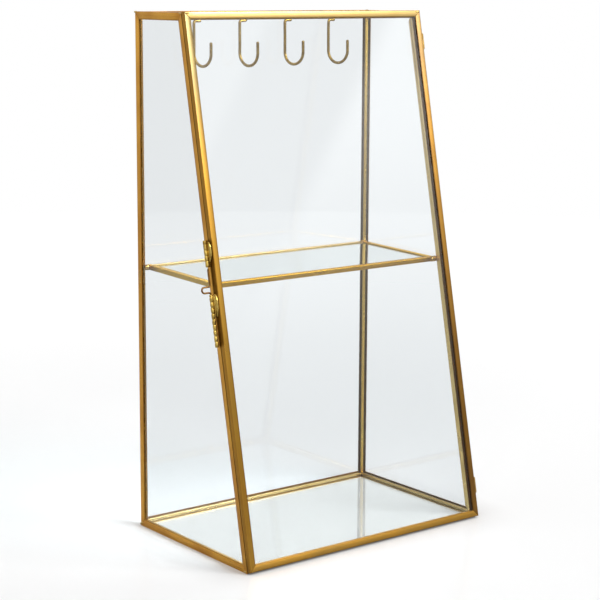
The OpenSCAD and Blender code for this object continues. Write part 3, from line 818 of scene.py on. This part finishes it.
def grow(name, mesh, rule, finish, values, smooth=SMOOTH_UNDER):
    """Runs the rule on the mesh once and returns the finished piece."""
    seedling = bpy.data.objects.new(name + "_path", mesh)
    bpy.context.scene.collection.objects.link(seedling)
    modifier = seedling.modifiers.new("rule", "NODES")
    modifier.node_group = rule
    for item in rule.interface.items_tree:
        if item.item_type == "SOCKET" and item.in_out == "INPUT" and item.name in values:
            modifier[item.identifier] = values[item.name]
    graph = bpy.context.evaluated_depsgraph_get()
    grown = bpy.data.meshes.new_from_object(seedling.evaluated_get(graph), depsgraph=graph)
    bpy.data.objects.remove(seedling)
    body = bmesh.new()
    body.from_mesh(grown)
    bmesh.ops.recalc_face_normals(body, faces=body.faces)
    return new_piece(name, body, finish, smooth)


print("ready:", Rule.__doc__)

# %% [markdown]
# ## Bent wire
# Wire bent over a peg is never quite true: each straight run wanders by a tenth of a millimetre.
# The rule moves the path with slow noise, sweeps a circle along it and rounds its cut ends. It
# also stores `drawn`, the place of each point if the wire were pulled straight.

# %% Write the wire's rule
WIRE_STEP, WAVES, WIRE_SIDES = 0.4 * MM, 60, 20
ROUND_END, LEAST_END = 0.7, 0.12

wire = Rule("bent_wire", {"Radius": 0.0009, "Wander": 0.0002, "Seed": 0.0})
radius = wire.given("Radius")
here = wire.node("GeometryNodeInputPosition")("Position")
curve = wire.node("GeometryNodeMeshToCurve", None, {"Mesh": wire.given("Geometry")})("Curve")
settings, values = {"mode": "LENGTH"}, {"Curve": curve, "Length": WIRE_STEP}
curve = wire.node("GeometryNodeResampleCurve", settings, values)("Curve")
values = {"Vector": wire.vector("ADD", here, wire.given("Seed")), "Scale": WAVES, "Detail": 1.0}
waves = wire.node("ShaderNodeTexNoise", None, values)("Color")
waves = wire.vector("SUBTRACT", waves, (0.5, 0.5, 0.5))
curve = wire.moved(curve, {"Offset": wire.vector("MULTIPLY", waves, wire.given("Wander"))})
along = wire.node("GeometryNodeSplineParameter")("Length")
total = wire.node("GeometryNodeSplineLength")("Length")
gap = (along.low(total - along) / (radius * ROUND_END)).low(1.0)
taper = wire.math("SQRT", (1 - (1 - gap) * (1 - gap)).high(LEAST_END))
curve = wire.kept(curve, "along", along)
values = {"Resolution": WIRE_SIDES, "Radius": radius}
ring = wire.node("GeometryNodeCurvePrimitiveCircle", None, values)("Curve")
ring = wire.kept(ring, "ring", here, "FLOAT_VECTOR")
values = {"Curve": curve, "Profile Curve": ring, "Scale": taper, "Fill Caps": True}
swept = wire.node("GeometryNodeCurveToMesh", None, values)("Mesh")
lengthwise = wire.node("ShaderNodeCombineXYZ", None, {"X": wire.stored("along")})("Vector")
values = {"Vector": wire.stored("ring", "FLOAT_VECTOR"), "Angle": math.pi / 2}
turned = wire.node("ShaderNodeVectorRotate", {"rotation_type": "Y_AXIS"}, values)("Vector")
turned = wire.vector("MULTIPLY", turned, (0, 1, 1))
swept = wire.kept(swept, "drawn", wire.vector("ADD", lengthwise, turned), "FLOAT_VECTOR")
wire_rule = wire.done(swept, hook_wire)
print("nodes in the wire's rule:", len(wire_rule.nodes))

# %% [markdown]
# ## The hooks
# Each hook starts with a foot that is soldered under the roof, drops straight down and bends
# towards the door. They were bent by hand, one after the other, so no two bends have the same
# width or turn.

# %% Bend the hooks
RIGHT, UP = Vector((1, 0, 0)), Vector((0, 0, 1))
HOOKS = [(-56.5, 8.3, 8), (-18.9, 8.8, 8), (19.8, 8.5, 10), (58.6, 8.5, 13)]
HOOK_Y, FOOT_Z, FOOT_L, FOOT_BEND = -5.4, 343.3, 5.6, 1.6
HOOK_R, HOOK_DROP, HOOK_TIP, HOOK_WANDER, SEED_STEP = 1.0, 21.6, 6.8, 0.7, 3.1


def path_mesh(points):
    """A mesh of one line through the points."""
    mesh = bpy.data.meshes.new("path")
    mesh.from_pydata(points, [(n, n + 1) for n in range(len(points) - 1)], [])
    return mesh


def arc(centre, start, end, radius, u, v, steps=16):
    """Points round an arc from angle start to end, counted from direction u towards v."""
    angles = [math.radians(start + (end - start) * n / steps) for n in range(steps + 1)]
    return [centre + (u * math.cos(a) + v * math.sin(a)) * radius for a in angles]


for n, (x, bend, turn) in enumerate(HOOKS):
    turn = math.radians(turn)
    ahead = Vector((math.sin(turn), -math.cos(turn), 0))
    stem = Vector((x, HOOK_Y, FOOT_Z - HOOK_DROP))
    foot = Vector((x, HOOK_Y, FOOT_Z))
    points = [foot + RIGHT * FOOT_L, foot + RIGHT * FOOT_BEND]
    points += arc(foot + (RIGHT - UP) * FOOT_BEND, 90, 180, FOOT_BEND, RIGHT, UP, 8)[1:]
    points += arc(stem + ahead * bend, 180, 360, bend, ahead, UP, 32)
    points.append(stem + ahead * (2 * bend) + UP * (HOOK_TIP + HOOK_R))
    mesh = path_mesh([point * MM for point in points])
    settings = {"Radius": HOOK_R * MM, "Wander": HOOK_WANDER * MM, "Seed": SEED_STEP * n}
    hook = grow("hook_%d_wire" % (n + 1), mesh, wire_rule, hook_wire, settings)
    settle(hook, "hook_%d" % (n + 1))
print("hooks:", len(HOOKS))

# %% [markdown]
# ## The latch
# The latch is made of two ringed tubes on pointed plates and one bent wire that slides through
# them. The front leans, so its pieces are laid out in the front's own frame: across, out of the
# door and up the slope. Each ring of a tube was pressed a little askew, and the rings tilt one way
# and the other. The upper tube is rubbed smoother than the lower one.

# %% Shape a tube
LEAN = math.atan(FRONT_SET_BACK / CASE_H)
FRONT = Matrix.Translation((0, -BASE_D * MM, 0)) @ Matrix.Rotation(-LEAN, 4, "X")
FRONT_RIGHT = FRONT.to_3x3() @ RIGHT
AXIS_X, AXIS_Y, TUBE_R, BORE_R = -100.6, 1.35, 1.25, 0.66
RING, RING_STEP, RING_TILT, LIP, LIP_ROUND, TUBE_SIDES = 3.6, 0.3, 0.5, 0.5, 0.2, 40


def on_front(x, y, z):
    """A point of the front's own frame, given in millimetres."""
    return FRONT @ (Vector((x, y, z)) * MM)


def tube_rows(low, high, groove_depth):
    """The radius, height and tilt of each row of a tube from its lower to its upper mouth."""
    steps = [low + RING_STEP * n for n in range(int((high - low) / RING_STEP) + 1)] + [high]
    rows = [(BORE_R, low, 0.0)]
    for z in steps:
        turn = math.pi * (z - low) / RING
        end = min(z - low, high - z, LIP) / LIP
        groove = 1 - abs(math.sin(turn)) ** 0.35
        radius = TUBE_R - groove_depth * groove * end - LIP_ROUND * (1 - end)
        rows.append((radius, z, RING_TILT * math.sin(turn * 0.5 + 0.4) * end))
    return rows + [(BORE_R, high, 0.0)]


def ringed_tube(mesh, low, high, groove_depth):
    """A tube along the bolt's axis with rounded rings that tilt to and fro."""
    rings = []
    for radius, z, tilt in tube_rows(low, high, groove_depth):
        angles = [2 * math.pi * n / TUBE_SIDES for n in range(TUBE_SIDES)]
        ring = []
        for a in angles:
            x, y = AXIS_X + radius * math.cos(a), AXIS_Y + radius * math.sin(a)
            ring.append(mesh.verts.new(on_front(x, y, z + tilt * math.cos(a + 0.8))))
        rings.append(ring)
    for a, b in zip(rings, rings[1:] + rings[:1]):
        for n in range(TUBE_SIDES):
            m = (n + 1) % TUBE_SIDES
            mesh.faces.new((a[n], a[m], b[m], b[n]))


print("the front leans by", round(math.degrees(LEAN), 1), "degrees")

# %% [markdown]
# A plate is a thin slab with soft edges. The outer one of each pair is pressed up a little in its
# middle: its large face is inset and lifted.

# %% Shape a plate
PLATE_T, PLATE_EDGE, DOME_INSET = 0.6, 0.16, 0.35


def soft_plate(mesh, off, shape, dome):
    """A plate beside the case's left, a distance off it. Its shape is given as (out, up) points,
    its edges are rounded, and its outer face is lifted by dome."""
    inner, outer = -HALF_W - off, -HALF_W - off - PLATE_T
    low = [mesh.verts.new(on_front(inner, y, z)) for y, z in shape]
    top = [mesh.verts.new(on_front(outer, y, z)) for y, z in shape]
    faces = [mesh.faces.new(low[::-1]), mesh.faces.new(top)]
    for n in range(len(shape)):
        m = (n + 1) % len(shape)
        faces.append(mesh.faces.new((low[n], low[m], top[m], top[n])))
    edges = list(dict.fromkeys(edge for face in faces for edge in face.edges))
    bmesh.ops.bevel(mesh, geom=edges, offset=PLATE_EDGE * MM, segments=2, profile=0.5,
                    affect="EDGES", clamp_overlap=True)
    if dome:
        large = [face for face in mesh.faces if len(face.verts) > 4]
        for face in [face for face in large if -face.normal.dot(FRONT_RIGHT) > 0.95]:
            bmesh.ops.inset_region(mesh, faces=[face], thickness=DOME_INSET * MM)
            for vert in face.verts:
                vert.co -= FRONT_RIGHT * dome * MM


def tongue(near, far, top, long):
    """The outline of a pointed tongue that hangs down from a height, with a curved flank."""

    def spot(share, drop):
        return near * (1 - share) + far * share, top - drop * long

    return [spot(0, 0), spot(0, 0.55), spot(0.25, 0.86), spot(0.4, 1), spot(0.7, 0.88),
            spot(1, 0.66), spot(1, 0.25), spot(0.7, 0)]


print("a tongue has", len(tongue(0, 1, 1, 1)), "corners")

# %% [markdown]
# Each half of the latch is one piece: a plate soldered to the strip, the pointed plate over it
# and the tube.

# %% Build the two halves of the latch
DOOR_TUBE, CASE_TUBE = (144.7, 178.2), (195.7, 212.7)
DEEP_GROOVES, WORN_GROOVES = 0.34, 0.14
TUBE_SMOOTH = 35


def latch_half(node, tube, groove_depth, plates):
    mesh = bmesh.new()
    for off, shape, dome in plates:
        soft_plate(mesh, off, shape, dome)
    ringed_tube(mesh, *tube, groove_depth)
    bmesh.ops.recalc_face_normals(mesh, faces=mesh.faces)
    settle(new_piece(node + "_piece", mesh, fitting_brass, TUBE_SMOOTH), node)


low, high = DOOR_TUBE
latch_half("latch_door_plate", DOOR_TUBE, DEEP_GROOVES, [
    (0.0, tongue(-0.5, -3.3, high, 14.5), 0.0),
    (0.3, tongue(AXIS_Y - 0.5, -1.4, high, 14.5), 0.2),
])
low, high = CASE_TUBE
latch_half("latch_case_plate", CASE_TUBE, WORN_GROOVES, [
    (0.0, [(0.1, low), (2.6, low), (2.6, high), (0.1, high)], 0.0),
    (0.3, tongue(AXIS_Y - 0.5, -3.2, high - 1, 13.0), 0.25),
])
print("tubes in mm:", DOOR_TUBE, CASE_TUBE)

# %% [markdown]
# The bolt is one wire that runs up through both tubes. Between them it is bent out to the left and
# back, which leaves a loop for a finger.

# %% Bend the bolt
BOLT_R, BEND, BOLT_FOOT, BOLT_HEAD = 0.6, 1.3, 146.7, 194.7
LOOP_BASE, LOOP_TOP, LOOP_MIDDLE = 179.6, 183.3, 4.55
LOOP_END = (LOOP_TOP - LOOP_BASE) / 2

axis = Vector((AXIS_X, AXIS_Y, 0))
corner, crown = UP * (LOOP_BASE - BEND), UP * (LOOP_TOP + BEND)
points = [axis + UP * BOLT_FOOT, axis + corner]
points += arc(axis - RIGHT * BEND + corner, 0, 90, BEND, RIGHT, UP, 8)[1:]
loop = axis - RIGHT * LOOP_MIDDLE + UP * (LOOP_BASE + LOOP_END)
points += arc(loop, 270, 90, LOOP_END, RIGHT, UP, 16)
points += arc(axis - RIGHT * BEND + crown, -90, 0, BEND, RIGHT, UP, 8)
points.append(axis + UP * BOLT_HEAD)
settings = {"Radius": BOLT_R * MM, "Wander": 0.0, "Seed": 0.0}
path = path_mesh([on_front(*point) for point in points])
settle(grow("latch_bolt_wire", path, wire_rule, bolt_wire, settings), "latch_bolt")
print("the bolt's loop reaches out by mm:", round(LOOP_MIDDLE + LOOP_END + BOLT_R, 1))

# %% [markdown]
# ## Hinges and solder
# The hinges' leaves and pins were cast and tumbled, so no edge of them is sharp, and solder is a
# drop that froze. Both start from the solid: it is cut into fine voxels and smoothed, which rounds
# every edge by about the size of a few voxels.

# %% Soften the hinges and the solder
SOFT = {name: (0.14, 3) for name in NODES if "hinge" in name}
SOFT.update({"shelf_solder": (0.22, 6), "hook_solder": (0.20, 6)})


def softened(node, finish, voxel, rounds):
    """The node's solid with all its edges rounded."""
    piece = new_piece(node + "_piece", flat_copy(node), finish)
    remesh = piece.modifiers.new("voxels", "REMESH")
    remesh.mode, remesh.voxel_size, remesh.use_smooth_shade = "VOXEL", voxel * MM, True
    smooth = piece.modifiers.new("smooth", "SMOOTH")
    smooth.factor, smooth.iterations = 0.5, rounds
    piece.data = evaluated_mesh(piece)
    piece.data.materials.clear()
    piece.data.materials.append(finish)
    piece.data.shade_smooth()
    settle(piece, node)


for name, (voxel, rounds) in SOFT.items():
    softened(name, hinge_brass, voxel, rounds)
print("softened:", list(SOFT))

# %% [markdown]
# Where strips meet, a little solder stands proud of the corner. A bead is a handful of drops that
# run together: the rule turns points into balls, melts them into one skin and gives it slow
# ripples.

# %% Write the solder's rule
RIPPLES, EVEN_ROUNDS = 900, 5

solder = Rule("solder_drops", {"Voxel": 0.00014, "Ripple": 0.00018})
size, voxel = solder.stored("size"), solder.given("Voxel")
values = {"Mesh": solder.given("Geometry"), "Radius": size}
drops = solder.node("GeometryNodeMeshToPoints", None, values)("Points")
settings = {"resolution_mode": "VOXEL_SIZE"}
values = {"Points": drops, "Voxel Size": voxel, "Radius": size}
melt = solder.node("GeometryNodePointsToVolume", settings, values)("Volume")
values = {"Volume": melt, "Voxel Size": voxel, "Threshold": 0.1}
skin = solder.node("GeometryNodeVolumeToMesh", settings, values)("Mesh")
place = solder.node("GeometryNodeInputPosition")("Position")
settings, values = {"data_type": "FLOAT_VECTOR"}, {"Value": place, "Iterations": EVEN_ROUNDS}
even = solder.node("GeometryNodeBlurAttribute", settings, values)("Value")
skin = solder.moved(skin, {"Position": even})
values = {"Vector": place, "Scale": RIPPLES, "Detail": 1.0}
ripple = (solder.node("ShaderNodeTexNoise", None, values)("Fac") - 0.5) * solder.given("Ripple")
outward = solder.node("GeometryNodeInputNormal")("Normal")
skin = solder.moved(skin, {"Offset": solder.vector("MULTIPLY", outward, ripple)})
solder_rule = solder.done(skin, solder_skin)
print("nodes in the solder's rule:", len(solder_rule.nodes))

# %% [markdown]
# A bead has a place, a direction, a length and a radius, in millimetres. The drops along it are
# shaken a little, with a fixed seed.

# %% Put beads on the corners
BEAD_SMOOTH, BEAD_SEED = 60, 7
CORNERS = [
    ((-98.6, -0.5, 349.6), (0, 1, 0), 1.6, 0.75), ((98.6, -0.5, 349.6), (0, 1, 0), 1.6, 0.75),
    ((-98.7, -0.9, 1.7), (0, -0.8, 0.6), 2.4, 0.8), ((98.7, -0.9, 1.7), (0, -0.8, 0.6), 2.4, 0.8),
    ((-98.8, -122.4, 1.0), (0, 1, 0), 1.6, 0.7), ((98.8, -122.4, 1.0), (0, 1, 0), 1.6, 0.7),
    ((-98.8, -53.0, 349.3), (0, 1, 0), 1.4, 0.7), ((98.8, -53.0, 349.3), (0, 1, 0), 1.4, 0.7),
    ((-99.0, -2.6, 174.0), (0, 0.1, 1), 8.0, 0.42), ((-99.0, -3.6, 177.0), (0, 0.1, 1), 4.0, 0.42),
    ((95.2, -4.3, 181.0), (0, 0, 1), 4.0, 0.8), ((-95.4, -4.2, 179.0), (0, 0, 1), 3.0, 0.8),
]
DOOR_BEAD_X, DOOR_BEAD_Y, DOOR_BEAD_Z = 96.6, -3.75, 356.0
DOOR_CORNERS = [
    (tuple(on_front(x, DOOR_BEAD_Y, DOOR_BEAD_Z) / MM), tuple(FRONT_RIGHT), 2.0, 0.6)
    for x in (DOOR_BEAD_X, -DOOR_BEAD_X)
]


def beads(name, spots, body):
    """One skin of solder over spots, each given by its place, its run, its length and radius."""
    chance = np.random.default_rng(BEAD_SEED)
    places, sizes = [], []
    for place, run, long, radius in spots:
        count = max(2, round(long / (0.5 * radius)))
        for n in range(count):
            slide = Vector(run) * long * (n / (count - 1) - 0.5)
            jitter = Vector(chance.uniform(-0.15, 0.15, 3)) * radius
            places.append((Vector(place) + slide + jitter) * MM)
            sizes.append(radius * MM * chance.uniform(0.8, 1.0))
    mesh = bpy.data.meshes.new(name)
    mesh.from_pydata(places, [], [])
    mesh.attributes.new("size", "FLOAT", "POINT").data.foreach_set("value", sizes)
    piece = grow(name, mesh, solder_rule, solder_skin, {}, BEAD_SMOOTH)
    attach(piece, body)


beads("corner_solder", CORNERS, "case")
beads("door_solder", DOOR_CORNERS, "door")
print("beads:", len(CORNERS) + len(DOOR_CORNERS))

# %% [markdown]
# ## Finish
# The solder beads are the last pieces, and the script ends with them.
